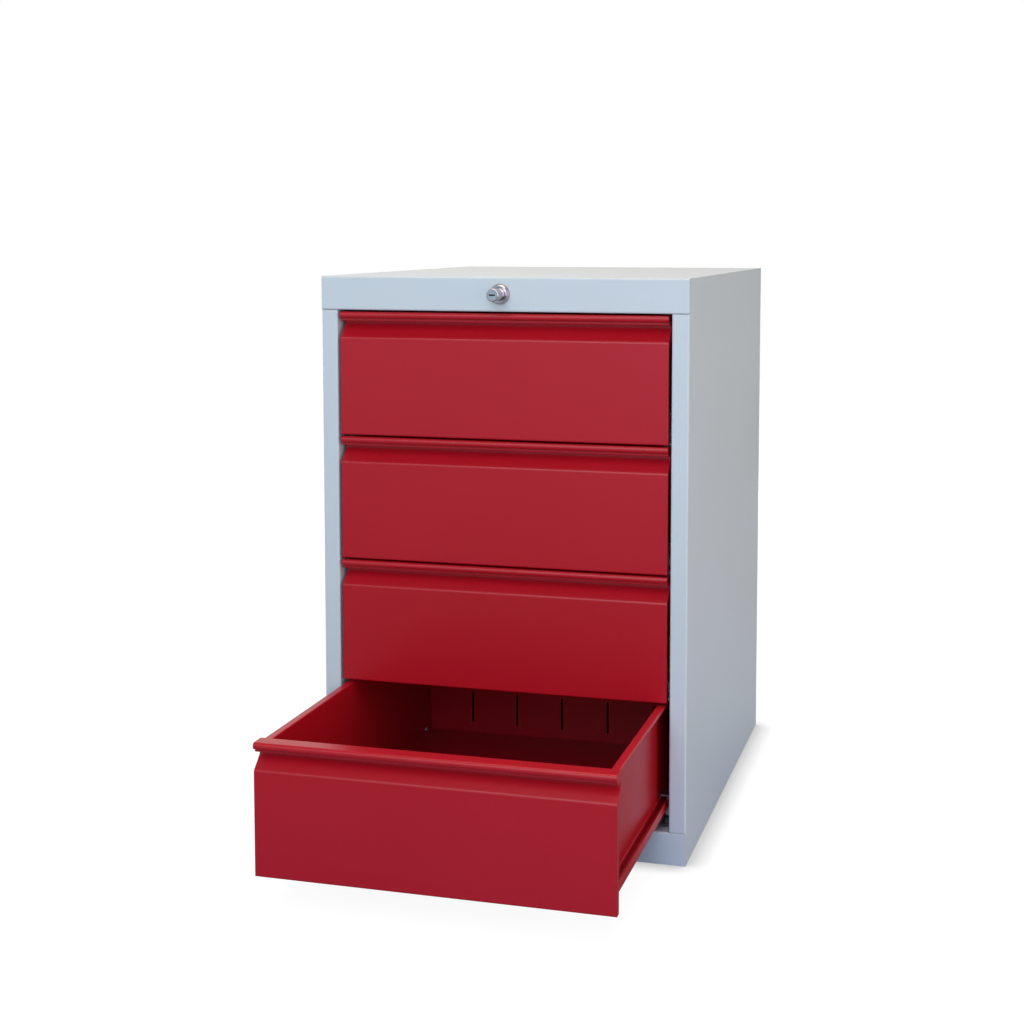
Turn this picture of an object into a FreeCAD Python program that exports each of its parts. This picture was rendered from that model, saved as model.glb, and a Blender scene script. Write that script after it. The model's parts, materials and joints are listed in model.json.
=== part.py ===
import FreeCAD, Part
import math
import os

# Drawer cabinet of folded sheet steel with four drawers on roller rails and one central push lock.
# Millimetres. X runs to the right, Y to the back, Z up.
# The origin is on the floor, at the middle of the front edge of the casing.
# The bottom drawer stands open at rest, the other three are closed.

# Casing
case_width = 500.0
case_depth = 650.0
case_height = 762.0
case_sheet = 1.2
case_bend = 1.2
post_width = 22.5
post_return = 44.0
rear_return = 12.0
top_rail_height = 45.0
base_rail_height = 43.0
rail_lip = 20.0
rear_flange = 27.0
seam = 0.2
corner_gap = 1.6
foot_flange = 20.0
foot_flange_front = 30.0
foot_flange_rear = 610.0
base_flange = 25.0
floor_top = 40.0
floor_front = 24.0
floor_flange = 14.0
back_bottom = 2.0
back_rib_depth = 3.0
back_rib_radius = 7.0
back_rib_inner_x = 45.0
back_rib_outer_x = 215.0

# Drawers
drawer_count = 4
drawer_pitch = 168.0
lowest_drawer = 45.0
drawer_travel = 455.0
open_distance = 285.0
drawer_sheet = 1.0
front_height = 165.5
front_half_width = 223.5
lip_reach = 2.0
lip_height = 8.4
lip_upper_round = 3.2
lip_lower_round = 2.8
lip_strip_depth = 4.0
lip_strip_low = 12.6
groove_depth = 18.0
groove_floor = 18.0
groove_round = 9.0
face_start = 34.4
end_plate_step = 12.0
front_back = 22.2
front_flange = 32.0
front_hem = 11.0
front_hem_rise = 14.0

# Drawer tray
tray_outer_half = 211.0
tray_rim_half = 221.0
tray_rim_drop = 4.0
tray_rim_top = 164.0
tray_floor = 6.0
tray_rear = 609.0
tray_rear_height = 150.0
tray_rear_hem = 5.0
tray_front_height = 160.0
slot_pitch = 71.0
slots_each_side = 2
slot_width = 3.0
slot_low = 22.0
slot_high = 67.0

# Runners on the drawer and rails in the casing
runner_sheet = 1.5
runner_outer_half = 222.5
runner_front = 11.5
runner_underside = 22.5
runner_lip_top = 36.0
rail_inner_half = 212.5
rail_floor = -0.6
rail_ceiling = 37.0
rail_front = 26.0
rail_rear = 636.0
stop_tab_height = 6.0
stop_tab_low_x = 214.0
stop_tab_high_x = 223.0

# Rollers and their axles
roller_radius = 11.0
roller_width = 9.0
roller_gap = 0.3
axle_radius = 3.0
axle_clearance = 0.08
axle_boss_radius = 5.0
axle_head_radius = 4.5
axle_head_height = 0.7
axle_tail_radius = 3.8
axle_tail_height = 1.5
axle_side_play = 0.1
axle_hole_radius = 3.1
roller_rim_round = 0.8
roller_recess_radius = 8.5
roller_recess_depth = 1.0
front_axle_y = 58.0
rear_axle_y = 585.0
front_roller_x = 213.4
rear_roller_x = 213.3

# Rear uprights, rivets and bumpers
upright_front = 604.0
upright_rear = 642.0
upright_rear_edge = 236.0
upright_wall_flange = 16.0
rivet_radius = 2.0
rivet_hole_radius = 2.1
rivet_head_radius = 4.0
rivet_head_height = 1.3
rivet_head_round = 0.9
rivet_tail_radius = 3.3
rivet_tail_height = 2.0
rivet_front_y = 35.0
rivet_rear_y = 622.0
rivet_heights = (8.0, 28.0)
back_rivet_x = 244.0
back_rivet_rows = 6
bumper_depth = 7.5
bumper_gap = 0.5
bumper_low = 24.0
bumper_high = 34.0
bumper_round = 1.5

# Push lock and locking linkage
lock_z = 740.0
collar_radius = 13.5
collar_depth = 6.0
collar_bevel = 2.5
collar_rim = 1.5
collar_body_radius = 11.0
collar_body_length = 24.0
plunger_radius = 8.25
plunger_reach = 35.0
plunger_clearance = 0.05
key_plug_radius = 6.0
key_plug_length = 14.0
key_slot_width = 8.4
key_slot_height = 2.0
key_slot_depth = 10.0
nut_across_flats = 27.0
nut_height = 5.0
plunger_nose_round = 0.9
plunger_flange_radius = 10.0
plunger_flange_height = 2.7
key_plug_proud = 0.4
rod_width = 12.0
rod_sheet = 3.0
rod_end = 620.0
rod_neck_radius = 4.0
rod_neck_length = 10.0
rod_guide_places = (130.0, 560.0)
rod_guide_drop = 9.0
rod_guide_flange = 20.0
rod_guide_half_width = 15.0
slide_gap = 0.4
crank_arm = 25.0
crank_sheet = 3.0
crank_hub_radius = 8.0
crank_arm_half = 6.0
crank_arm_end = 7.0
crank_slot_half = 3.0
crank_slot_inward = 0.6
crank_slot_outward = 2.4
crank_pin_length = 18.5
bracket_x = 19.5
bracket_sheet = 2.0
bracket_flange = 20.0
bracket_front = 602.5
bracket_rear = 624.5
bracket_low = 706.0
crank_y = 612.5
crank_x = 14.0
pin_radius = 2.5
bar_front = 636.0
bar_sheet = 3.0
bar_half_width = 12.0
bar_bottom = 75.0
bar_top = 722.0
hook_half_width = 5.0
hook_front = 622.0
hook_leg = 9.5
hook_clearance = 2.5
catch_half_width = 16.0
catch_tab_y = 626.5
catch_tab_top = 118.0
catch_tab_height = 12.0
catch_flange = 18.0
guide_heights = (100.0, 400.0, 600.0)
guide_height = 16.0
guide_half_width = 20.0
guide_front = 633.0
bar_foot_radius = 8.0
spring_mean_radius = 5.5
spring_wire_radius = 0.7
spring_turns = 8
spring_seat_top = 42.0
spring_seat_radius = 9.0
spring_stud_radius = 3.5
spring_stud_height = 9.0

# Worked out from the driving dimensions
half_width = case_width / 2
wall_inner = half_width - case_sheet
opening_top = case_height - top_rail_height
back_outer = case_depth - case_sheet
back_inner = back_outer - case_sheet
post_inner = half_width - post_width
tray_inner_half = tray_outer_half - drawer_sheet
rail_web_half = post_inner
rail_web_inner = rail_web_half - runner_sheet
front_axle_z = runner_underside - roller_gap - roller_radius
rear_axle_z = rail_floor + roller_gap + roller_radius
stop_tab_rear = rear_axle_y - drawer_travel - roller_radius
vector = FreeCAD.Vector


def drawer_base(number):
    # Drawer 1 is the top one.
    return lowest_drawer + (drawer_count - number) * drawer_pitch


def rest_shift(number):
    return vector(0, -open_distance if number == drawer_count else 0, 0)


def box(x_low, x_high, y_low, y_high, z_low, z_high):
    corner = vector(x_low, y_low, z_low)
    return Part.makeBox(x_high - x_low, y_high - y_low, z_high - z_low, corner)


def rod_along_x(radius, x_low, x_high, y, z):
    return Part.makeCylinder(radius, x_high - x_low, vector(x_low, y, z), vector(1, 0, 0))


def rod_along_y(radius, y_low, y_high, x, z):
    return Part.makeCylinder(radius, y_high - y_low, vector(x, y_low, z), vector(0, 1, 0))


def rod_along_z(radius, z_low, z_high, x, y):
    return Part.makeCylinder(radius, z_high - z_low, vector(x, y, z_low))


def joined(first, *others):
    return first.fuse(list(others)).removeSplitter()


def mirrored(shape):
    return shape.mirror(vector(0, 0, 0), vector(1, 0, 0))


def both_sides(solids):
    return solids + [mirrored(solid) for solid in solids]


def save(name, solids):
    # A node's solids go into one file, one after the other.
    shape = solids[0] if len(solids) == 1 else Part.makeCompound(solids)
    shape.exportStep("parts/" + name + ".step")


def save_moved(name, solids, shift):
    save(name, [solid.translated(shift) for solid in solids])


# Outlines

def rounded_face(corners, place):
    # corners are (u, v, radius) in order round the outline. place turns u and v into a point.
    count = len(corners)
    edges = []
    last_end = None
    first_start = None
    for index in range(count):
        u, v, radius = corners[index]
        here = vector(u, v, 0)
        before = vector(*corners[index - 1][:2], 0) - here
        after = vector(*corners[(index + 1) % count][:2], 0) - here
        start = here
        end = here
        middle = None
        if radius > 0:
            before.normalize()
            after.normalize()
            half_angle = before.getAngle(after) / 2
            tangent = radius / math.tan(half_angle)
            start = here + before * tangent
            end = here + after * tangent
            bisector = before + after
            bisector.normalize()
            middle = here + bisector * (radius / math.sin(half_angle) - radius)
        if last_end is not None:
            line = Part.LineSegment(place(last_end.x, last_end.y), place(start.x, start.y))
            edges.append(line.toShape())
        else:
            first_start = start
        if middle is not None:
            arc = Part.Arc(place(start.x, start.y), place(middle.x, middle.y), place(end.x, end.y))
            edges.append(arc.toShape())
        last_end = end
    line = Part.LineSegment(place(last_end.x, last_end.y), place(first_start.x, first_start.y))
    edges.append(line.toShape())
    return Part.Face(Part.Wire(edges))


def bent_sides(path, sheet):
    # path is (u, v, inner bend radius) along one surface. The sheet lies on its left.
    # A fold whose inner radius is 0 is crisp on both surfaces.
    points = [vector(u, v, 0) for u, v, _ in path]
    runs = [points[i + 1] - points[i] for i in range(len(points) - 1)]
    for run in runs:
        run.normalize()
    normals = [vector(-run.y, run.x, 0) for run in runs]
    start = points[0] + normals[0] * sheet
    near = [(points[0].x, points[0].y, 0)]
    far = [(start.x, start.y, 0)]
    for index in range(1, len(points) - 1):
        before = normals[index - 1]
        after = normals[index]
        shift = (before + after) * (sheet / (1 + before.dot(after)))
        other = points[index] + shift
        inner = path[index][2]
        outer = inner + sheet if inner > 0 else 0
        left_turn = runs[index - 1].cross(runs[index]).z > 0
        near_radius = outer if left_turn else inner
        far_radius = inner if left_turn else outer
        near.append((points[index].x, points[index].y, near_radius))
        far.append((other.x, other.y, far_radius))
    end = points[-1] + normals[-1] * sheet
    near.append((points[-1].x, points[-1].y, 0))
    far.append((end.x, end.y, 0))
    return near, far


def bent_face(path, sheet, place):
    near, far = bent_sides(path, sheet)
    return rounded_face(near + far[::-1], place)


def along_x(path, sheet, x_low, x_high):
    face = bent_face(path, sheet, lambda u, v: vector(x_low, u, v))
    return face.extrude(vector(x_high - x_low, 0, 0))


def along_y(path, sheet, y_low, y_high):
    face = bent_face(path, sheet, lambda u, v: vector(u, y_low, v))
    return face.extrude(vector(0, y_high - y_low, 0))


def along_z(path, sheet, z_low, z_high):
    face = bent_face(path, sheet, lambda u, v: vector(u, v, z_low))
    return face.extrude(vector(0, 0, z_high - z_low))


# Casing

def rail_rivet_places(y):
    return [(y, drawer_base(n) + z) for n in range(1, drawer_count + 1) for z in rivet_heights]


def side_panel():
    # One sheet: front post with its inner return, wall, rear return and a flange on the floor.
    bend = case_bend
    path = [
        (post_inner, post_return, 0),
        (post_inner, 0, bend),
        (half_width, 0, bend),
        (half_width, case_depth, bend),
        (half_width - rear_return, case_depth, 0),
    ]
    folded = along_z(path, case_sheet, base_rail_height + seam, opening_top - seam)
    wall_front = case_sheet + corner_gap
    lower = box(wall_inner, half_width, wall_front, case_depth - corner_gap, 0, base_rail_height + seam)
    upper_top = case_height - case_sheet
    upper = box(wall_inner, half_width, wall_front, case_depth - corner_gap, opening_top - seam, upper_top)
    foot = box(wall_inner - foot_flange, wall_inner, foot_flange_front, foot_flange_rear, 0, case_sheet)
    panel = joined(folded, lower, upper, foot)
    holes = [rod_along_x(rivet_hole_radius, post_inner - 1, post_inner + 3, y, z)
             for y, z in rail_rivet_places(rivet_front_y)]
    holes += [rod_along_y(rivet_hole_radius, case_depth - 4, case_depth + 1, back_rivet_x, z)
              for z in back_rivet_heights()]
    return panel.cut(holes)


def back_rivet_heights():
    step = (opening_top - base_rail_height) / back_rivet_rows
    return [base_rail_height + step * (row + 0.5) for row in range(back_rivet_rows)]


def wall_clearance(z_low, z_high):
    # Room for the upright edges of the side panels behind a full-width front fold.
    inner = wall_inner - seam
    right = box(inner, half_width + 1, case_sheet + seam, case_depth + 1, z_low, z_high)
    return [right, mirrored(right)]


def top_panel():
    # Top sheet, front rail folded down from it with a lip, and a flange over the back panel.
    path = [
        (case_depth, case_height - rear_flange, 0),
        (case_depth, case_height, case_bend),
        (0, case_height, case_bend),
        (0, opening_top, case_bend),
        (rail_lip, opening_top, 0),
    ]
    panel = along_x(path, case_sheet, -half_width, half_width)
    lock_hole = rod_along_y(collar_body_radius + 0.15, -1, case_sheet + 1, 0, lock_z)
    return panel.cut(wall_clearance(opening_top - 1, case_height - case_sheet) + [lock_hole])


def base_rail():
    # The lower fold is crisp, so that its flange starts at the front face.
    path = [
        (rail_lip, base_rail_height, 0),
        (0, base_rail_height, case_bend),
        (0, 0, 0),
        (base_flange, 0, 0),
    ]
    panel = along_x(path, case_sheet, -half_width, half_width)
    return panel.cut(wall_clearance(-1, base_rail_height + 1))


def floor_panel():
    edge = wall_inner - seam
    path = [
        (edge, floor_top - floor_flange, 0),
        (edge, floor_top, case_bend),
        (-edge, floor_top, case_bend),
        (-edge, floor_top - floor_flange, 0),
    ]
    return along_y(path, case_sheet, floor_front, back_inner - seam)


def back_panel():
    # Flat sheet with pressed ribs on both sides of the locking bar.
    edge = wall_inner - case_bend - seam
    top = case_height - case_sheet - case_bend - seam
    panel = box(-edge, edge, back_inner, back_outer, back_bottom, top)
    axis_y = back_outer - back_rib_depth + back_rib_radius
    outside = box(-case_width, case_width, back_outer, case_depth + 20, 0, case_height)
    for number in range(1, drawer_count + 1):
        z = drawer_base(number) + front_height / 2
        skin_radius = back_rib_radius + case_sheet
        skin = rod_along_x(skin_radius, back_rib_inner_x, back_rib_outer_x, axis_y, z).cut(outside)
        groove = rod_along_x(back_rib_radius, back_rib_inner_x + case_sheet,
                             back_rib_outer_x - case_sheet, axis_y, z)
        panel = panel.fuse([skin, mirrored(skin)]).cut([groove, mirrored(groove)])
    holes = [rod_along_y(rivet_hole_radius, back_inner - 1, case_depth, side * back_rivet_x, z)
             for z in back_rivet_heights() for side in (-1, 1)]
    return panel.cut(holes).removeSplitter()


def rear_upright():
    bend = case_bend
    wall_edge = wall_inner - case_sheet - 0.1
    path = [
        (upright_rear_edge, upright_rear, 0),
        (post_inner, upright_rear, bend),
        (post_inner, upright_front, bend),
        (wall_edge, upright_front, bend),
        (wall_edge, upright_front - upright_wall_flange, 0),
    ]
    upright = along_z(path, case_sheet, floor_top + seam, opening_top)
    holes = [rod_along_x(rivet_hole_radius, post_inner - 1, post_inner + 3, y, z)
             for y, z in rail_rivet_places(rivet_rear_y)]
    return upright.cut(holes)


# Rails, rollers and runners

def rail(base):
    # Channel that opens towards the drawer, with a stop tab and holes for its axle and rivets.
    ceiling = base + rail_ceiling
    floor = base + rail_floor
    path = [
        (rail_inner_half, ceiling, 0),
        (rail_web_inner, ceiling, 1.0),
        (rail_web_inner, floor, 1.0),
        (rail_inner_half, floor, 0),
    ]
    channel = along_y(path, runner_sheet, rail_front, rail_rear)
    tab = box(stop_tab_low_x, stop_tab_high_x, stop_tab_rear - runner_sheet, stop_tab_rear,
              floor - runner_sheet / 2, floor + stop_tab_height)
    holes = [rod_along_x(rivet_hole_radius, rail_web_inner - 1, rail_web_half + 1, y, base + z)
             for y in (rivet_front_y, rivet_rear_y) for z in rivet_heights]
    axle_hole = rod_along_x(axle_hole_radius, rail_web_inner - 1, rail_web_half + 1,
                            front_axle_y, base + front_axle_z)
    return joined(channel, tab).cut(holes + [axle_hole])


def front_axle(base):
    # Fixed in the rail's web: head, shank, shoulder and a riveted end.
    y = front_axle_y
    z = base + front_axle_z
    head_end = front_roller_x - axle_side_play
    shoulder_start = front_roller_x + roller_width + axle_side_play
    head = rod_along_x(axle_head_radius, head_end - axle_head_height, head_end, y, z)
    shank = rod_along_x(axle_radius, head_end - axle_head_height, rail_web_half + axle_tail_height, y, z)
    shoulder = rod_along_x(axle_boss_radius, shoulder_start, rail_web_inner, y, z)
    tail = rod_along_x(axle_head_radius, rail_web_half, rail_web_half + axle_tail_height, y, z)
    return joined(head, shank, shoulder, tail)


def rear_axle(base):
    # Fixed in the wall of the tray, below the runner.
    y = rear_axle_y
    z = base + rear_axle_z
    tail_start = tray_inner_half - axle_tail_height
    head_start = rear_roller_x + roller_width + axle_side_play
    tail = rod_along_x(axle_tail_radius, tail_start, tray_inner_half, y, z)
    shank = rod_along_x(axle_radius, tail_start, head_start + axle_head_height, y, z)
    shoulder = rod_along_x(axle_boss_radius, tray_outer_half, rear_roller_x - axle_side_play, y, z)
    head = rod_along_x(axle_head_radius, head_start, head_start + axle_head_height, y, z)
    return joined(tail, shank, shoulder, head)


def roller(x, y, z):
    # Nylon wheel with rounded rims and a hub that stands in a shallow recess.
    end = x + roller_width
    wheel = rod_along_x(roller_radius, x, end, y, z)
    rims = [edge for edge in wheel.Edges if edge.Curve.TypeId == "Part::GeomCircle"]
    wheel = wheel.makeFillet(roller_rim_round, rims)
    recess = rod_along_x(roller_recess_radius, end - roller_recess_depth, end + 1, y, z)
    hub = rod_along_x(axle_boss_radius, end - roller_recess_depth, end, y, z)
    bore = rod_along_x(axle_radius + axle_clearance, x - 1, end + 1, y, z)
    return wheel.cut(recess).fuse(hub).removeSplitter().cut(bore)


def runner(base):
    # Channel welded to the outside of the tray. Its underside runs on the front roller.
    lip_top = base + runner_lip_top
    under = base + runner_underside
    path = [
        (tray_outer_half, lip_top, 0),
        (tray_outer_half, under, 0.8),
        (runner_outer_half, under, 0.8),
        (runner_outer_half, lip_top, 0),
    ]
    return along_y(path, runner_sheet, runner_front, tray_rear)


def rail_rivet(y, z):
    plate = rail_web_half + case_sheet
    head_top = rail_web_inner - rivet_head_height
    head = rod_along_x(rivet_head_radius, head_top, rail_web_inner, y, z)
    rim = [edge for edge in head.Edges if edge.Closed and edge.CenterOfMass.x < head_top + 0.1]
    head = head.makeFillet(rivet_head_round, rim)
    tail_end = plate + rivet_tail_height
    shank = rod_along_x(rivet_radius, rail_web_inner - rivet_head_height / 2, tail_end, y, z)
    tail = rod_along_x(rivet_tail_radius, plate, tail_end, y, z)
    return joined(head, shank, tail)


def back_rivet(x, z):
    head_top = case_depth + rivet_head_height
    head = rod_along_y(rivet_head_radius, case_depth, head_top, x, z)
    rim = [edge for edge in head.Edges if edge.Closed and edge.CenterOfMass.y > head_top - 0.1]
    head = head.makeFillet(rivet_head_round, rim)
    tail_end = back_inner - rivet_tail_height
    shank = rod_along_y(rivet_radius, tail_end, case_depth + rivet_head_height / 2, x, z)
    tail = rod_along_y(rivet_tail_radius, tail_end, back_inner, x, z)
    return joined(head, shank, tail)


def rear_bumper(base):
    # Rubber block in the rail that the closed runner comes up against.
    front = tray_rear + bumper_gap
    low = base + bumper_low
    high = base + bumper_high
    block = box(rail_inner_half, rail_web_inner, front, front + bumper_depth, low, high)
    edges = [edge for edge in block.Edges if abs(edge.CenterOfMass.y - front) < 0.1]
    return block.makeFillet(bumper_round, edges)


# Drawers

def front_outline():
    # Section of the front from its back flange over the lip, the strip under it and the finger
    # groove and down the face, for a drawer whose face is at Y 0 and whose top is at Z 0.
    return [
        (front_back, -front_flange, 0),
        (front_back, 0, 0.6),
        (-lip_reach, 0, lip_upper_round),
        (-lip_reach, -lip_height, lip_lower_round),
        (lip_strip_depth, -lip_height, 0.6),
        (lip_strip_depth, -lip_strip_low, 0.6),
        (groove_depth, -lip_strip_low, 1.0),
        (groove_depth, -groove_floor, groove_round),
        (0, -face_start, 3.0),
        (0, -front_height, 1.0),
        (front_hem, -front_height, 1.0),
        (front_hem, -front_height + front_hem_rise, 0),
    ]


def drawer_front(base):
    top = base + front_height
    half = front_half_width
    path = [(u, v + top, radius) for u, v, radius in front_outline()]
    skin = along_x(path, drawer_sheet, -half, half)
    # End plates close the section and follow the lip and the groove.
    outer_side, _ = bent_sides(path, drawer_sheet)
    corners = outer_side[1:-1]
    corners += [(front_hem, top - face_start - end_plate_step, 0), (front_back, top - front_flange, 0)]
    end = rounded_face(corners, lambda u, v: vector(half - drawer_sheet, u, v))
    end = end.extrude(vector(drawer_sheet, 0, 0))
    return joined(skin, end, mirrored(end))


def tray(base):
    # Folded sheet with outward rims. The end walls are welded into it.
    outer = tray_rim_half
    inner = tray_inner_half
    rim = base + tray_rim_top
    floor = base + tray_floor
    path = [
        (outer, rim - tray_rim_drop, 0),
        (outer, rim, 0.8),
        (inner, rim, 0.8),
        (inner, floor, 0.8),
        (-inner, floor, 0.8),
        (-inner, rim, 0.8),
        (-outer, rim, 0.8),
        (-outer, rim - tray_rim_drop, 0),
    ]
    shell = along_y(path, drawer_sheet, front_back, tray_rear)
    axle_hole = rod_along_x(axle_hole_radius, -half_width, half_width, rear_axle_y, base + rear_axle_z)
    return shell.cut(axle_hole)


def divider_slots(base, y):
    # Upright slots with round ends through a wall whose front is at y.
    slots = []
    radius = slot_width / 2
    low = base + slot_low
    high = base + slot_high
    for index in range(-slots_each_side, slots_each_side + 1):
        x = index * slot_pitch
        slots.append(box(x - radius, x + radius, y - 1, y + 2, low, high))
        slots.append(rod_along_y(radius, y - 1, y + 2, x, low))
        slots.append(rod_along_y(radius, y - 1, y + 2, x, high))
    return slots


def end_walls(base):
    # Front wall and rear wall of the tray. The rear wall has a hem along its top.
    inner = tray_inner_half
    floor = base + tray_floor
    rear_top = base + tray_rear_height
    rear_start = tray_rear - drawer_sheet
    shell = tray(base)
    front = box(-inner, inner, front_back, front_back + drawer_sheet, floor, base + tray_front_height)
    rear = box(-inner, inner, rear_start, tray_rear, floor, rear_top)
    hem = box(-inner, inner, tray_rear - tray_rear_hem, tray_rear, rear_top - drawer_sheet, rear_top)
    front_wall = front.cut([shell] + divider_slots(base, front_back))
    rear_wall = joined(rear, hem).cut([shell] + divider_slots(base, rear_start))
    return [front_wall, rear_wall]


def catch(base):
    # Angle on the tray's rear wall, and on it an upright tab that the lock's hook drops behind.
    tab_top = base + catch_tab_top
    arm = tab_top - catch_tab_height
    tab_rear = catch_tab_y + runner_sheet
    half = catch_half_width
    path = [
        (tab_rear, arm, 0),
        (tray_rear, arm, 1.0),
        (tray_rear, arm - catch_flange, 0),
    ]
    angle = along_x(path, runner_sheet, -half, half)
    return [angle, box(-half, half, catch_tab_y, tab_rear, arm, tab_top)]


# Push lock

def lock_collar():
    # Bevelled ring in front of the rail and a threaded body behind it.
    ring = Part.makeCone(collar_radius - collar_bevel, collar_radius, collar_depth - collar_rim,
                         vector(0, -collar_depth, lock_z), vector(0, 1, 0))
    base_ring = rod_along_y(collar_radius, -collar_rim, 0, 0, lock_z)
    body = rod_along_y(collar_body_radius, 0, collar_body_length, 0, lock_z)
    bore_radius = plunger_radius + plunger_clearance
    bore = rod_along_y(bore_radius, -collar_depth - 1, collar_body_length + 1, 0, lock_z)
    return joined(ring, base_ring, body).cut(bore)


def lock_nut():
    circle_radius = nut_across_flats / 2 / math.cos(math.pi / 6)
    points = []
    for index in range(7):
        angle = index * math.pi / 3
        points.append(vector(circle_radius * math.cos(angle), case_sheet,
                             lock_z + circle_radius * math.sin(angle)))
    nut = Part.Face(Part.makePolygon(points)).extrude(vector(0, nut_height, 0))
    return nut.cut(rod_along_y(collar_body_radius + plunger_clearance, 0, nut_height + 2, 0, lock_z))


def lock_plunger():
    flange_start = collar_body_length + slide_gap
    barrel = rod_along_y(plunger_radius, -plunger_reach, flange_start, 0, lock_z)
    nose = [edge for edge in barrel.Edges if edge.Closed and edge.CenterOfMass.y < -plunger_reach + 0.1]
    barrel = barrel.makeFillet(plunger_nose_round, nose)
    flange_end = flange_start + plunger_flange_height
    flange = rod_along_y(plunger_flange_radius, flange_start, flange_end, 0, lock_z)
    socket = rod_along_y(key_plug_radius + plunger_clearance, -plunger_reach - 1,
                         -plunger_reach + key_plug_length, 0, lock_z)
    return joined(barrel, flange).cut(socket)


def key_plug():
    front = -plunger_reach - key_plug_proud
    plug = rod_along_y(key_plug_radius, front, front + key_plug_length, 0, lock_z)
    half_slot = key_slot_width / 2
    slot = box(-half_slot, half_slot, front - 1, front + key_slot_depth,
               lock_z - key_slot_height / 2, lock_z + key_slot_height / 2)
    return plug.cut(slot)


def push_rod():
    # Round neck behind the plunger, then a flat bar to the crank with a pin at its end.
    neck_start = collar_body_length + slide_gap + plunger_flange_height
    neck_end = neck_start + rod_neck_length
    half = rod_width / 2
    neck = rod_along_y(rod_neck_radius, neck_start, neck_end, 0, lock_z)
    bar = box(-half, half, neck_end - 2, rod_end, lock_z - rod_sheet / 2, lock_z + rod_sheet / 2)
    pin = rod_along_x(pin_radius, 0, crank_pin_length, crank_y, lock_z)
    return joined(neck, bar, pin)


def rod_guide(y):
    # Angle under the top sheet with a slot that the push rod slides in.
    under_top = case_height - case_sheet
    path = [
        (y, lock_z - rod_guide_drop, 0),
        (y, under_top, 1.0),
        (y - rod_guide_flange, under_top, 0),
    ]
    angle = along_x(path, runner_sheet, -rod_guide_half_width, rod_guide_half_width)
    slot_half_width = rod_width / 2 + slide_gap
    slot_half_height = rod_sheet / 2 + slide_gap
    slot = box(-slot_half_width, slot_half_width, y - runner_sheet - 1, y + 1,
               lock_z - slot_half_height, lock_z + slot_half_height)
    return angle.cut(slot)


def crank():
    # Two arms at a right angle on one hub. Each arm has a slot along it for a pin.
    pivot_z = lock_z - crank_arm
    x = crank_x
    half = crank_arm_half
    end = crank_arm + crank_arm_end
    hub = rod_along_x(crank_hub_radius, x, x + crank_sheet, crank_y, pivot_z)
    upper = box(x, x + crank_sheet, crank_y - half, crank_y + half, pivot_z, pivot_z + end)
    rear = box(x, x + crank_sheet, crank_y, crank_y + end, pivot_z - half, pivot_z + half)
    low_x = x - 1
    high_x = x + crank_sheet + 1
    slot_low = crank_arm - crank_slot_inward
    slot_high = crank_arm + crank_slot_outward
    cuts = [rod_along_x(axle_radius + axle_clearance, low_x, high_x, crank_y, pivot_z)]
    for distance in (slot_low, slot_high):
        cuts.append(rod_along_x(crank_slot_half, low_x, high_x, crank_y, pivot_z + distance))
        cuts.append(rod_along_x(crank_slot_half, low_x, high_x, crank_y + distance, pivot_z))
    cuts.append(box(low_x, high_x, crank_y - crank_slot_half, crank_y + crank_slot_half,
                    pivot_z + slot_low, pivot_z + slot_high))
    cuts.append(box(low_x, high_x, crank_y + slot_low, crank_y + slot_high,
                    pivot_z - crank_slot_half, pivot_z + crank_slot_half))
    return joined(hub, upper, rear).cut(cuts)


def crank_bracket():
    # Plate hung from the top sheet with the pivot of the crank.
    pivot_z = lock_z - crank_arm
    x = bracket_x
    under_top = case_height - case_sheet
    plate = box(x, x + bracket_sheet, bracket_front, bracket_rear, bracket_low, under_top)
    flange = box(x, x + bracket_flange, bracket_front, bracket_rear, under_top - bracket_sheet, under_top)
    head_end = crank_x - axle_side_play
    head_start = head_end - axle_head_height
    pivot = rod_along_x(axle_radius, head_start, x + 1, crank_y, pivot_z)
    collar = rod_along_x(axle_boss_radius, crank_x + crank_sheet + axle_side_play, x, crank_y, pivot_z)
    head = rod_along_x(axle_head_radius, head_start, head_end, crank_y, pivot_z)
    return joined(plate, flange, pivot, collar, head)


def locking_bar():
    # Upright bar with a pin in the crank and a foot on the spring, and a hook for each drawer,
    # whose arm and leg are small plates welded on.
    centre_y = bar_front + bar_sheet / 2
    bar = box(-bar_half_width, bar_half_width, bar_front, bar_front + bar_sheet, bar_bottom, bar_top)
    foot = rod_along_z(bar_foot_radius, bar_bottom, bar_bottom + bar_sheet, 0, centre_y)
    pin = rod_along_x(pin_radius, 0, crank_pin_length, centre_y, lock_z - crank_arm)
    solids = [joined(bar, foot, pin)]
    half = hook_half_width
    for number in range(1, drawer_count + 1):
        low = drawer_base(number) + catch_tab_top + hook_clearance
        arm_low = low + hook_leg
        solids.append(box(-half, half, hook_front, bar_front, arm_low, arm_low + bar_sheet))
        solids.append(box(-half, half, hook_front, hook_front + bar_sheet, low, arm_low))
    return solids


def bar_guide(z):
    # Nylon block on the back panel with a channel for the bar.
    block = box(-guide_half_width, guide_half_width, guide_front, back_inner, z, z + guide_height)
    channel_half = bar_half_width + slide_gap
    channel = box(-channel_half, channel_half, bar_front - slide_gap,
                  bar_front + bar_sheet + slide_gap, z - 1, z + guide_height + 1)
    return block.cut(channel)


def bar_spring():
    centre_y = bar_front + bar_sheet / 2
    low = spring_seat_top + spring_wire_radius
    height = bar_bottom - spring_seat_top - 2 * spring_wire_radius
    helix = Part.makeHelix(height / spring_turns, height, spring_mean_radius)
    circle = Part.Circle(vector(spring_mean_radius, 0, 0), vector(0, 1, 0), spring_wire_radius)
    section = Part.Wire(circle.toShape())
    coil = Part.Wire(helix).makePipeShell([section], True, True)
    return coil.translated(vector(0, centre_y, low))


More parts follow.
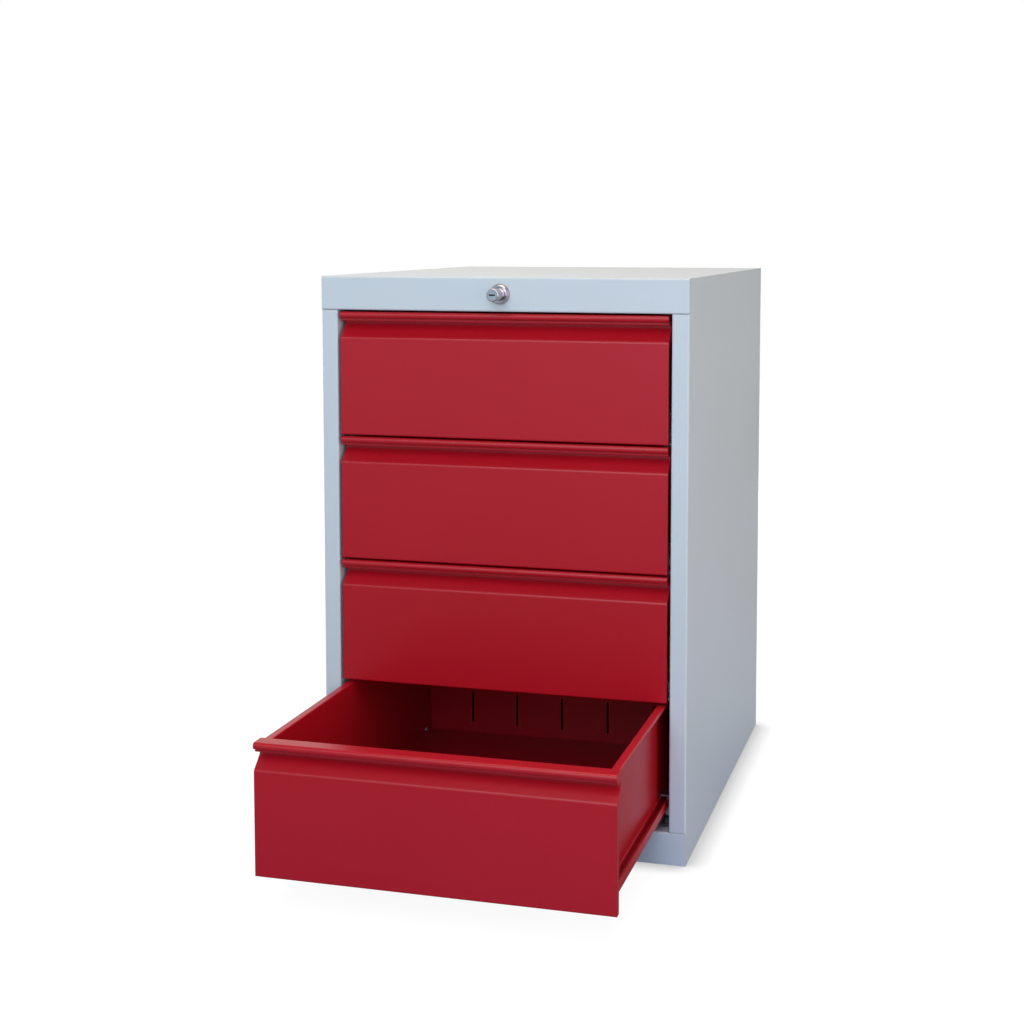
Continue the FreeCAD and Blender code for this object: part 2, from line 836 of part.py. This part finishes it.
def spring_seat():
    centre_y = bar_front + bar_sheet / 2
    plate = rod_along_z(spring_seat_radius, floor_top, spring_seat_top, 0, centre_y)
    stud = rod_along_z(spring_stud_radius, floor_top, spring_seat_top + spring_stud_height, 0, centre_y)
    return joined(plate, stud)


# Nodes

def save_casing():
    panel = side_panel()
    save("right_side_panel", [panel])
    save("left_side_panel", [mirrored(panel)])
    save("top_panel", [top_panel()])
    save("base_rail", [base_rail()])
    save("floor_panel", [floor_panel()])
    save("back_panel", [back_panel()])
    save("rear_uprights", both_sides([rear_upright()]))


def save_rails():
    bases = [drawer_base(number) for number in range(1, drawer_count + 1)]
    rails = [rail(base) for base in bases]
    save("right_rails", rails)
    save("left_rails", [mirrored(one) for one in rails])
    save("front_axles", both_sides([front_axle(base) for base in bases]))
    rivets = [rail_rivet(y, z) for end in (rivet_front_y, rivet_rear_y) for y, z in rail_rivet_places(end)]
    save("rail_rivets", both_sides(rivets))
    save("back_rivets", both_sides([back_rivet(back_rivet_x, z) for z in back_rivet_heights()]))
    save("rear_bumpers", both_sides([rear_bumper(base) for base in bases]))


def save_drawers():
    for number in range(1, drawer_count + 1):
        base = drawer_base(number)
        shift = rest_shift(number)
        name = "drawer_%d_" % number
        save_moved(name + "front", [drawer_front(base)], shift)
        save_moved(name + "tray", [tray(base)], shift)
        save_moved(name + "end_walls", end_walls(base), shift)
        save_moved(name + "runners", both_sides([runner(base)]), shift)
        save_moved(name + "axles", both_sides([rear_axle(base)]), shift)
        save_moved(name + "catch", catch(base), shift)
        rear_roller = roller(rear_roller_x, rear_axle_y, base + rear_axle_z)
        save_moved(name + "rear_rollers", both_sides([rear_roller]), shift)
        front_roller = roller(front_roller_x, front_axle_y, base + front_axle_z)
        save(name + "front_rollers", both_sides([front_roller]))


def save_lock():
    save("lock_collar", [lock_collar()])
    save("lock_nut", [lock_nut()])
    save("lock_plunger", [lock_plunger()])
    save("key_plug", [key_plug()])
    save("push_rod", [push_rod()])
    save("rod_guides", [rod_guide(y) for y in rod_guide_places])
    save("crank", [crank()])
    save("crank_bracket", [crank_bracket()])
    save("locking_bar", locking_bar())
    save("bar_guides", [bar_guide(z) for z in guide_heights])
    save("bar_spring", [bar_spring()])
    save("spring_seat", [spring_seat()])


os.makedirs("parts", exist_ok=True)
save_casing()
save_rails()
save_drawers()
save_lock()
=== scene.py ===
import bpy
import json
import math
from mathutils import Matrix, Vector


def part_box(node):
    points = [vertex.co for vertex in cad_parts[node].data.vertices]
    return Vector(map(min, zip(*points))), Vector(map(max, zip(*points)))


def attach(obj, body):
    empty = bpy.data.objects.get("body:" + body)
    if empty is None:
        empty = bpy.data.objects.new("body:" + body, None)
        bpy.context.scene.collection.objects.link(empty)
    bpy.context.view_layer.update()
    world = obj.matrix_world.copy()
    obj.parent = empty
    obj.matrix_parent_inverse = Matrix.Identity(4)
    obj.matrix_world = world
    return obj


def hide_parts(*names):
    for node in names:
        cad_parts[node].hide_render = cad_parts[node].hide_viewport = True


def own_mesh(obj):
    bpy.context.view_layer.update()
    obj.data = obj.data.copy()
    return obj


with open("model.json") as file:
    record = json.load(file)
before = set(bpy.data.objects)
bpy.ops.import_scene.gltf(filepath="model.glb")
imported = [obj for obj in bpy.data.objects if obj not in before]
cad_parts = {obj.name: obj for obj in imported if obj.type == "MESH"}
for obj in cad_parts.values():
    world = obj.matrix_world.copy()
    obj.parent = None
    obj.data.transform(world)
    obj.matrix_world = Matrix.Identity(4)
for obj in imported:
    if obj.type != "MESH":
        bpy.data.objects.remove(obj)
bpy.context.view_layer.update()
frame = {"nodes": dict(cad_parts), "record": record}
nodes = frame["nodes"]
slotOfNode = {part["node"]: part["material_slot"] for part in frame["record"]["subparts"]}
print("frame loaded:", len(nodes), "nodes")


# Shader helpers

class Sock:  # an output socket that takes part in Python arithmetic
    def __init__(self, finish, socket):
        self.finish = finish
        self.socket = socket

    def math(self, operation, first, second=0.0):
        return self.finish.node("Math", {"operation": operation}, {0: first, 1: second})

    def __add__(self, other):
        return self.math("ADD", self, other)

    def __radd__(self, other):
        return self.math("ADD", other, self)

    def __sub__(self, other):
        return self.math("SUBTRACT", self, other)

    def __rsub__(self, other):
        return self.math("SUBTRACT", other, self)

    def __mul__(self, other):
        return self.math("MULTIPLY", self, other)

    def __rmul__(self, other):
        return self.math("MULTIPLY", other, self)

    def atLeast(self, other):
        return self.math("MAXIMUM", self, other)

    def ramp(self, low, high, start=0.0, end=1.0):  # low..high turns smoothly into start..end
        values = {"Value": self, "From Min": low, "From Max": high, "To Min": start, "To Max": end}
        return self.finish.node("MapRange", {"interpolation_type": "SMOOTHSTEP"}, values)


class Finish:  # a material, or the world, made of nodes
    def __init__(self, owner):
        self.owner = owner
        owner.use_nodes = True
        self.tree = owner.node_tree
        self.tree.nodes.clear()

    def node(self, kind, settings=None, inputs=None, output=0):
        made = self.tree.nodes.new("ShaderNode" + kind)
        for name, value in (settings or {}).items():
            setattr(made, name, value)
        for name, value in (inputs or {}).items():
            if isinstance(value, Sock):
                self.tree.links.new(value.socket, made.inputs[name])
            else:
                made.inputs[name].default_value = value
        return Sock(self, made.outputs[output]) if made.outputs else made

    def noise(self, place, scale, detail=2.0, roughness=0.5):
        values = {"Vector": place, "Scale": scale, "Detail": detail, "Roughness": roughness}
        return self.node("TexNoise", None, values)

    def cells(self, place, scale, output="Distance"):
        return self.node("TexVoronoi", None, {"Vector": place, "Scale": scale}, output)

    def stretched(self, place, factors):
        return self.node("VectorMath", {"operation": "MULTIPLY"}, {0: place, 1: factors})

    def axes(self, place):
        split = self.node("SeparateXYZ", None, {0: place})
        outputs = split.socket.node.outputs
        return [Sock(self, outputs[name]) for name in "XYZ"]

    def mixed(self, amount, first, second):
        return self.node("Mix", {"data_type": "RGBA"}, {0: amount, 6: first, 7: second}, 2)

    def bump(self, height, distance, strength=1.0, normal=None):
        values = {"Height": height, "Distance": distance, "Strength": strength}
        if normal:
            values["Normal"] = normal
        return self.node("Bump", None, values)

    def end(self, kind, surface):
        self.node(kind, None, {"Surface": surface})


def linear(red, green, blue):
    # A colour given as it shows on a screen, 0 to 255, turned into light.
    def channel(value):
        value /= 255
        return value / 12.92 if value <= 0.04045 else ((value + 0.055) / 1.055) ** 2.4
    return (channel(red), channel(green), channel(blue), 1.0)


def grey(value):
    return (value, value, value, 1.0)


# Finishes

powderLooks = {
    "casing_paint": {
        "colour": linear(201, 207, 211), "edge": linear(216, 218, 219), "dust": linear(226, 226, 222),
        "roughness": 0.42, "peel": 0.00003, "specular": 0.35,
    },
    "drawer_paint": {
        "colour": linear(176, 16, 31), "edge": linear(176, 44, 54), "dust": linear(190, 120, 112),
        "roughness": 0.3, "peel": 0.00003, "specular": 0.38,
    },
}


powderGrain = {
    "peelScale": 320.0, "gritScale": 1500.0, "peelShare": 0.8, "gritShare": 0.25, "bump": 0.8,
    "cloudScale": 5.0, "cloudTone": 0.07, "gritTone": 0.06, "cloudGloss": 0.06,
    "rubStretch": (5.0, 3.0, 14.0), "rubLow": 0.45, "rubHigh": 0.8, "rubGloss": 0.03,
    "foldRadius": 0.0012, "foldLow": 0.02, "foldHigh": 0.3, "foldHighlightShare": 0.45,
    "speckScale": 240.0, "speckCore": 0.03, "speckRim": 0.09, "speckTint": 0.2, "speckGloss": 0.15,
    "patchScale": 14.0, "patchLow": 0.55, "patchHigh": 0.75,
}


def powderCoat(name, look):
    # Baked powder: fine peel, slow clouds of tone, a painted highlight along the folds and a little
    # dust.
    fine = powderGrain
    finish = Finish(bpy.data.materials.new(name))
    place = finish.node("TexCoord", None, None, "Object")
    peel = finish.noise(place, fine["peelScale"], 1.0)
    grit = finish.noise(place, fine["gritScale"], 1.0)
    cloud = finish.noise(place, fine["cloudScale"], 3.0)
    rub = finish.noise(finish.stretched(place, fine["rubStretch"]), 1.0)
    softened = finish.node("Bevel", {"samples": 4}, {"Radius": fine["foldRadius"]})
    flat = finish.node("NewGeometry", None, None, "Normal")
    bend = 1 - finish.node("VectorMath", {"operation": "DOT_PRODUCT"}, {0: softened, 1: flat}, "Value")
    edge = bend.ramp(fine["foldLow"], fine["foldHigh"])
    specks = 1 - finish.cells(place, fine["speckScale"]).ramp(fine["speckCore"], fine["speckRim"])
    patches = finish.noise(place, fine["patchScale"]).ramp(fine["patchLow"], fine["patchHigh"])
    specks = specks * patches
    tone = 1 + (cloud - 0.5) * fine["cloudTone"] + (grit - 0.5) * fine["gritTone"]
    body = finish.node("VectorMath", {"operation": "SCALE"}, {0: look["colour"][:3], "Scale": tone})
    # painted highlight: bent folds and edges are mixed towards a lighter highlight colour
    colour = finish.mixed(edge * fine["foldHighlightShare"], body, look["edge"])
    colour = finish.mixed(specks * fine["speckTint"], colour, look["dust"])
    roughness = look["roughness"] + (cloud - 0.5) * fine["cloudGloss"]
    roughness = roughness + rub.ramp(fine["rubLow"], fine["rubHigh"]) * fine["rubGloss"]
    roughness = roughness + specks * fine["speckGloss"]
    height = peel * fine["peelShare"] + grit * fine["gritShare"]
    surface = finish.node("BsdfPrincipled", None, {
        "Base Color": colour, "Roughness": roughness, "Specular IOR Level": look["specular"],
        "Normal": finish.bump(height, look["peel"], fine["bump"], softened),
    })
    finish.end("OutputMaterial", surface)
    return finish.owner


metalLooks = {
    "zinc_plate": {
        "colour": linear(196, 199, 203), "shade": linear(150, 152, 150), "roughness": 0.34,
        "grain": (30.0, 260.0, 260.0), "scratch": 0.00001, "soil": 0.3,
    },
    "spring_steel": {
        "colour": linear(120, 121, 124), "shade": linear(70, 68, 66), "roughness": 0.3,
        "grain": (400.0, 400.0, 60.0), "scratch": 0.000006, "soil": 0.3,
    },
    "chrome": {
        "colour": linear(204, 188, 186), "shade": linear(168, 154, 154), "roughness": 0.12,
        "grain": (300.0, 60.0, 300.0), "scratch": 0.000003, "soil": 0.95,
    },
}
metalGrain = {
    "patchScale": 90.0, "patchTint": 0.25, "patchGloss": 0.04, "lineScale": 6.0, "lineGloss": 0.12,
    "dullScale": 40.0, "dullLow": 0.45, "dullHigh": 0.75, "dullTint": 0.5, "dullGloss": 0.08,
    "reach": 0.005, "deep": 0.35, "open": 0.85, "creviceShadeColour": linear(34, 33, 36), "bump": 0.6,
}


def platedMetal(name, look):
    # Plating with faint crystal patches, drawing lines along its grain, dull spots and painted shade
    # that darkens its corners and crevices.
    fine = metalGrain
    finish = Finish(bpy.data.materials.new(name))
    place = finish.node("TexCoord", None, None, "Object")
    patch = finish.axes(finish.cells(place, fine["patchScale"], "Color"))[0]
    lines = finish.noise(finish.stretched(place, look["grain"]), fine["lineScale"], 4.0, 0.6)
    dull = finish.noise(place, fine["dullScale"], 3.0).ramp(fine["dullLow"], fine["dullHigh"])
    around = finish.node("AmbientOcclusion", {"samples": 8}, {"Distance": fine["reach"]}, "AO")
    # painted shade: ambient occlusion over a few millimetres darkens corners and crevices towards a
    # near-black colour
    soil = around.ramp(fine["deep"], fine["open"], look["soil"], 0.0)
    worn = dull * fine["dullTint"] + patch * fine["patchTint"]
    colour = finish.mixed(worn, look["colour"], look["shade"])
    colour = finish.mixed(soil, colour, fine["creviceShadeColour"])
    roughness = look["roughness"] + (lines - 0.5) * fine["lineGloss"]
    roughness = roughness + dull * fine["dullGloss"] + (patch - 0.5) * fine["patchGloss"]
    surface = finish.node("BsdfPrincipled", None, {
        "Base Color": colour, "Roughness": roughness, "Metallic": 1.0,
        "Normal": finish.bump(lines, look["scratch"], fine["bump"]),
    })
    finish.end("OutputMaterial", surface)
    return finish.owner


mouldedLooks = {
    "nylon": {
        "colour": linear(226, 222, 210), "dirt": linear(120, 112, 100), "roughness": 0.48,
        "specular": 0.5, "relief": 0.00003, "soil": 0.45,
    },
    "rubber": {
        "colour": linear(34, 33, 33), "dirt": linear(86, 82, 78), "roughness": 0.78,
        "specular": 0.35, "relief": 0.00008, "soil": 0.3,
    },
}


mouldedGrain = {
    "grainScale": 900.0, "grainTone": 0.08, "grainGloss": 0.1,
    "soilScale": 70.0, "soilLow": 0.5, "soilHigh": 0.8, "soilGloss": 0.12,
}


def moulded(name, look):
    # Moulded piece with a fine eroded grain and soil that gathers in patches.
    fine = mouldedGrain
    finish = Finish(bpy.data.materials.new(name))
    place = finish.node("TexCoord", None, None, "Object")
    grain = finish.noise(place, fine["grainScale"], 3.0)
    soil = finish.noise(place, fine["soilScale"], 4.0, 0.6).ramp(fine["soilLow"], fine["soilHigh"])
    tone = 1 + (grain - 0.5) * fine["grainTone"]
    body = finish.node("VectorMath", {"operation": "SCALE"}, {0: look["colour"][:3], "Scale": tone})
    colour = finish.mixed(soil * look["soil"], body, look["dirt"])
    roughness = look["roughness"] + soil * fine["soilGloss"] + (grain - 0.5) * fine["grainGloss"]
    surface = finish.node("BsdfPrincipled", None, {
        "Base Color": colour, "Roughness": roughness, "Specular IOR Level": look["specular"],
        "Normal": finish.bump(grain, look["relief"]),
    })
    finish.end("OutputMaterial", surface)
    return finish.owner


finishes = {}
for makers, looks in ((powderCoat, powderLooks), (platedMetal, metalLooks), (moulded, mouldedLooks)):
    for slotName, look in looks.items():
        finishes[slotName] = makers(slotName.replace("_", " "), look)

for name, node in nodes.items():
    for index in range(len(node.material_slots)):
        node.material_slots[index].material = finishes[slotOfNode[name]]
print("finishes assigned:", len(finishes))


# Spring under the locking bar

springLook = {
    "slot": "spring_steel", "body": "cabinet", "joint": "locking_bar_slide", "node": "bar_spring",
    "wire": 0.0007, "turns": 8, "steps": 36, "sides": 12,
    "travel": 0.0103,  # a little more than the bar's, so that the top coil stays clear of it
}


def coilSpring(look):
    low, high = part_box(look["node"])
    middle = (Vector(low) + Vector(high)) / 2
    radius = (high[0] - low[0]) / 2 - look["wire"]
    bottom, top = low[2] + look["wire"], high[2] - look["wire"]
    count = look["turns"] * look["steps"]
    climb = (top - bottom) / (2 * math.pi * look["turns"])
    points = []
    for step in range(count + 1):
        turn = 2 * math.pi * step / look["steps"]
        outward = Vector((math.cos(turn), math.sin(turn), 0))
        along = Vector((-radius * math.sin(turn), radius * math.cos(turn), climb)).normalized()
        upward = outward.cross(along)
        centre = Vector((middle.x, middle.y, bottom + climb * turn)) + outward * radius
        for side in range(look["sides"]):
            angle = 2 * math.pi * side / look["sides"]
            across = outward * math.cos(angle) + upward * math.sin(angle)
            points.append(tuple(centre + across * look["wire"]))
    faces = [tuple(range(look["sides"]))]
    for step in range(count):
        first = step * look["sides"]
        second = first + look["sides"]
        for side in range(look["sides"]):
            after = (side + 1) % look["sides"]
            faces.append((first + side, second + side, second + after, first + after))
    faces.append(tuple(reversed(range(second, second + look["sides"]))))
    mesh = bpy.data.meshes.new("coilSpring")
    mesh.from_pydata(points, [], faces)
    mesh.shade_smooth()
    mesh.materials.append(finishes[look["slot"]])
    spring = bpy.data.objects.new("coilSpring", mesh)
    bpy.context.scene.collection.objects.link(spring)
    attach(spring, look["body"])
    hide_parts(look["node"])
    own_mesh(spring)


coilSpring(springLook)
print("spring made")


# Studio

floorLook = {
    "size": 14.0, "shown": grey(1.0), "toneSeen": grey(0.15),
    "lift": 0.93, "near": 1.1, "far": 2.6, "paintedContactShadow": 0.04,
    "bounce": grey(0.5), "bounceNear": (0.36, 0.5, 0.8, 1.0), "coolNear": 0.45, "coolFar": 1.1,
    "mirrored": (0.5, 0.74, 1.0), "mirrorNear": 1.8, "mirrorFar": 5.2,
    "behind": (0.27, 0.29, 0.34, 1.0), "behindNear": 0.3, "behindFar": 0.9,
}


def studioFloor(look):
    half = look["size"] / 2
    corners = [(-half, -half, 0), (half, -half, 0), (half, half, 0), (-half, half, 0)]
    mesh = bpy.data.meshes.new("studioFloor")
    mesh.from_pydata(corners, [], [(0, 1, 2, 3)])
    floor = bpy.data.objects.new("studioFloor", mesh)
    bpy.context.scene.collection.objects.link(floor)
    finish = Finish(bpy.data.materials.new("studio floor"))
    rays = finish.node("LightPath").socket.node.outputs
    seen = Sock(finish, rays["Is Camera Ray"])
    mirrored = Sock(finish, rays["Is Glossy Ray"])
    place = finish.node("TexCoord", None, None, "Object")
    away = finish.node("VectorMath", {"operation": "LENGTH"}, {0: place}, "Value")
    lift = away.ramp(look["near"], look["far"], look["lift"], 1.0)
    # painted contact shadow: ambient occlusion darkens the floor's glow close to the cabinet
    paintedContactShadow = finish.node("AmbientOcclusion", {"samples": 8}, {"Distance": look["paintedContactShadow"]}, "AO")
    distant = away.ramp(look["mirrorNear"], look["mirrorFar"])
    cool = away.ramp(look["coolNear"], look["coolFar"])
    bounce = finish.mixed(cool, look["bounceNear"], look["bounce"])
    shade = finish.mixed(seen.atLeast(mirrored), bounce, look["toneSeen"])
    back = finish.axes(place)[1].ramp(look["behindNear"], look["behindFar"])
    front = finish.node("VectorMath", {"operation": "SCALE"}, {0: look["mirrored"], "Scale": distant})
    mirror = finish.mixed(back, front, look["behind"])
    tint = finish.mixed(mirrored, look["shown"], mirror)
    strength = seen * lift * paintedContactShadow + mirrored
    glow = finish.node("VectorMath", {"operation": "SCALE"}, {0: tint, "Scale": strength})
    surface = finish.node("BsdfPrincipled", None, {
        "Base Color": shade, "Roughness": 1.0, "Specular IOR Level": 0.0,
        "Emission Color": glow, "Emission Strength": 1.0,
    })
    finish.end("OutputMaterial", surface)
    mesh.materials.append(finish.owner)


worldLook = {
    "shown": grey(1.0), "light": (0.27, 0.29, 0.3, 1.0), "mirrored": (0.55, 0.8, 1.0, 1.0),
    "behindLeft": (1.0, 0.98, 0.96, 1.0), "behindRight": (0.33, 0.4, 0.46, 1.0),
    "above": (0.14, 0.14, 0.17, 1.0),
    "left": -0.38, "right": 0.0, "front": -0.1, "back": 0.3, "low": 0.35, "high": 0.75,
}


def studioWorld(look):
    world = bpy.data.worlds.new("studio")
    bpy.context.scene.world = world
    finish = Finish(world)
    rays = finish.node("LightPath").socket.node.outputs
    seen = Sock(finish, rays["Is Camera Ray"])
    mirrored = Sock(finish, rays["Is Glossy Ray"])
    across, onward, upward = finish.axes(finish.node("TexCoord", None, None, "Generated"))
    rightward = across.ramp(look["left"], look["right"])
    behind = finish.mixed(rightward, look["behindLeft"], look["behindRight"])
    around = finish.mixed(onward.ramp(look["front"], look["back"]), look["mirrored"], behind)
    around = finish.mixed(upward.ramp(look["low"], look["high"]), around, look["above"])
    colour = finish.mixed(mirrored, look["light"], around)
    colour = finish.mixed(seen, colour, look["shown"])
    finish.end("OutputWorld", finish.node("Background", None, {"Color": colour, "Strength": 1.0}))


lamps = {
    "leftLamp": {"place": (-1.9, -2.4, 1.9), "aim": (0.0, 0.0, 0.45), "size": 2.2,
                 "power": 6.0, "colour": (0.85, 1.0, 0.95)},
    "highLamp": {"place": (0.1, -2.2, 2.25), "aim": (0.0, 0.0, 0.5), "size": 2.6,
                 "power": 44.0, "colour": (0.82, 0.95, 1.0)},
    "frontLamp": {"place": (0.9, -3.4, 1.1), "aim": (0.0, 0.0, 0.4), "size": 2.0,
                  "power": 28.0, "colour": (0.62, 0.69, 1.0)},
    "rightLamp": {"place": (2.8, -0.4, 0.8), "aim": (0.2, 0.3, 0.36), "size": 2.2,
                  "power": 27.0, "colour": (1.0, 0.87, 0.74)},
    "topLamp": {"place": (0.2, 0.7, 2.9), "aim": (0.0, 0.3, 0.0), "size": 2.4,
                "power": 44.0, "colour": (1.0, 0.83, 0.68)},
    "backLamp": {"place": (0.0, 3.2, 0.42), "aim": (0.0, 0.6, 0.36), "size": 0.6,
                 "power": 16.0, "colour": (1.0, 0.98, 0.95)},
    "farLamp": {"place": (-2.9, 0.5, 0.42), "aim": (-0.2, 0.3, 0.36), "size": 0.6,
                "power": 14.0, "colour": (1.0, 0.97, 0.94)},
}


def aimed(thing, place, aim):
    thing.location = place
    thing.rotation_euler = (Vector(aim) - Vector(place)).to_track_quat("-Z", "Y").to_euler()


def studioLamp(name, look):
    light = bpy.data.lights.new(name, "AREA")
    light.shape = "DISK"
    light.size = look["size"]
    light.energy = look["power"]
    light.color = look["colour"]
    lamp = bpy.data.objects.new(name, light)
    bpy.context.scene.collection.objects.link(lamp)
    aimed(lamp, look["place"], look["aim"])


studioFloor(floorLook)
studioWorld(worldLook)
for name, look in lamps.items():
    studioLamp(name, look)

viewpoint = {
    "place": (0.6241, -2.0632, 0.8200), "left": 15.703, "down": 4.701,  # turned by degrees
    "lens": 58.19, "sensor": 36.0, "shift": (-0.02, -0.14),
}
camera = bpy.data.objects.new("photoView", bpy.data.cameras.new("photoView"))
bpy.context.scene.collection.objects.link(camera)
camera.location = viewpoint["place"]
camera.rotation_euler = (math.radians(90 - viewpoint["down"]), 0, math.radians(viewpoint["left"]))
camera.data.lens = viewpoint["lens"]
camera.data.sensor_width = viewpoint["sensor"]
camera.data.shift_x, camera.data.shift_y = viewpoint["shift"]
bpy.context.scene.camera = camera
bpy.context.scene.view_settings.view_transform = "Standard"
print("studio ready")
